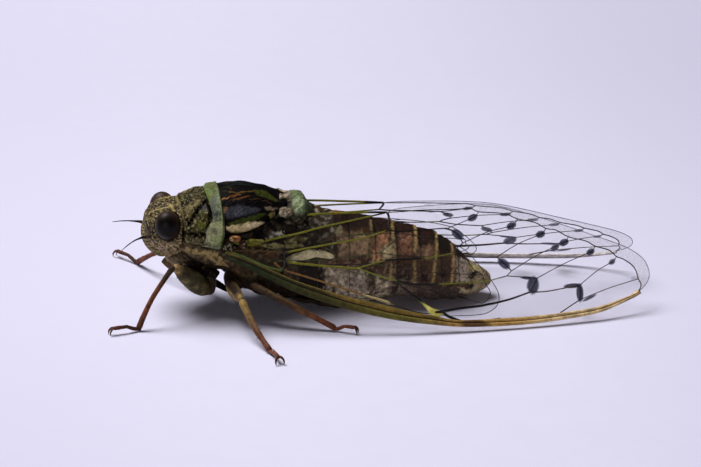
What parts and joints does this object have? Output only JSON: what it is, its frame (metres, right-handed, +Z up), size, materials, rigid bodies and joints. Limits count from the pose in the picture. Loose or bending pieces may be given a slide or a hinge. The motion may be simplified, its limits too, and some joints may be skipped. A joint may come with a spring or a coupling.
{
  "type": "cicada",
  "caption": "Life-size cicada at rest, clear spotted wings folded like a roof over a dark green and brown body, standing on its feet.",
  "frame": {"origin": "centre of the bounding box's bottom, on the floor under the animal", "axes": "+Z up, head towards -X, the animal's left side towards -Y"},
  "size_m": [0.0646, 0.0414, 0.0147],
  "materials": {
    "head": "satin",
    "eye": "gloss",
    "pronotum": "satin",
    "collar": "satin",
    "mesonotum": "gloss",
    "cruciform": "satin",
    "thorax": "matt",
    "abdomen": "satin",
    "plate": "matt",
    "leg": "satin",
    "leg_dark": "satin",
    "antenna": "satin",
    "wing": "clear, glossy"
  },
  "bodies": {
    "root": {"abdomen_2": "abdomen", "abdomen_3": "abdomen", "abdomen_4": "abdomen", "abdomen_5": "abdomen", "abdomen_6": "abdomen", "abdomen_7": "abdomen", "abdomen_8": "abdomen", "abdomen_tip": "abdomen", "antenna_left": "antenna", "antenna_right": "antenna", "clypeus": "head", "coxa_fore_left": "leg_dark", "coxa_fore_right": "leg_dark", "coxa_hind_left": "leg_dark", "coxa_hind_right": "leg_dark", "coxa_mid_left": "leg_dark", "coxa_mid_right": "leg_dark", "cruciform": "cruciform", "eye_left": "eye", "eye_right": "eye", "femur_fore_left": "leg_dark", "femur_fore_right": "leg_dark", "femur_hind_left": "leg", "femur_hind_right": "leg", "femur_mid_left": "leg", "femur_mid_right": "leg", "forewing_left": "wing", "forewing_right": "wing", "head": "head", "hindwing_left": "wing", "hindwing_right": "wing", "mesonotum": "mesonotum", "operculum_left": "plate", "operculum_right": "plate", "pronotum": "pronotum", "pronotum_collar": "collar", "rostrum": "leg_dark", "tarsus_fore_left": "leg_dark", "tarsus_fore_right": "leg_dark", "tarsus_hind_left": "leg_dark", "tarsus_hind_right": "leg_dark", "tarsus_mid_left": "leg_dark", "tarsus_mid_right": "leg_dark", "thorax": "thorax", "tibia_fore_left": "leg", "tibia_fore_right": "leg", "tibia_hind_left": "leg", "tibia_hind_right": "leg", "tibia_mid_left": "leg", "tibia_mid_right": "leg", "tymbal_cover_left": "plate", "tymbal_cover_right": "plate"}
  },
  "joints": []
}
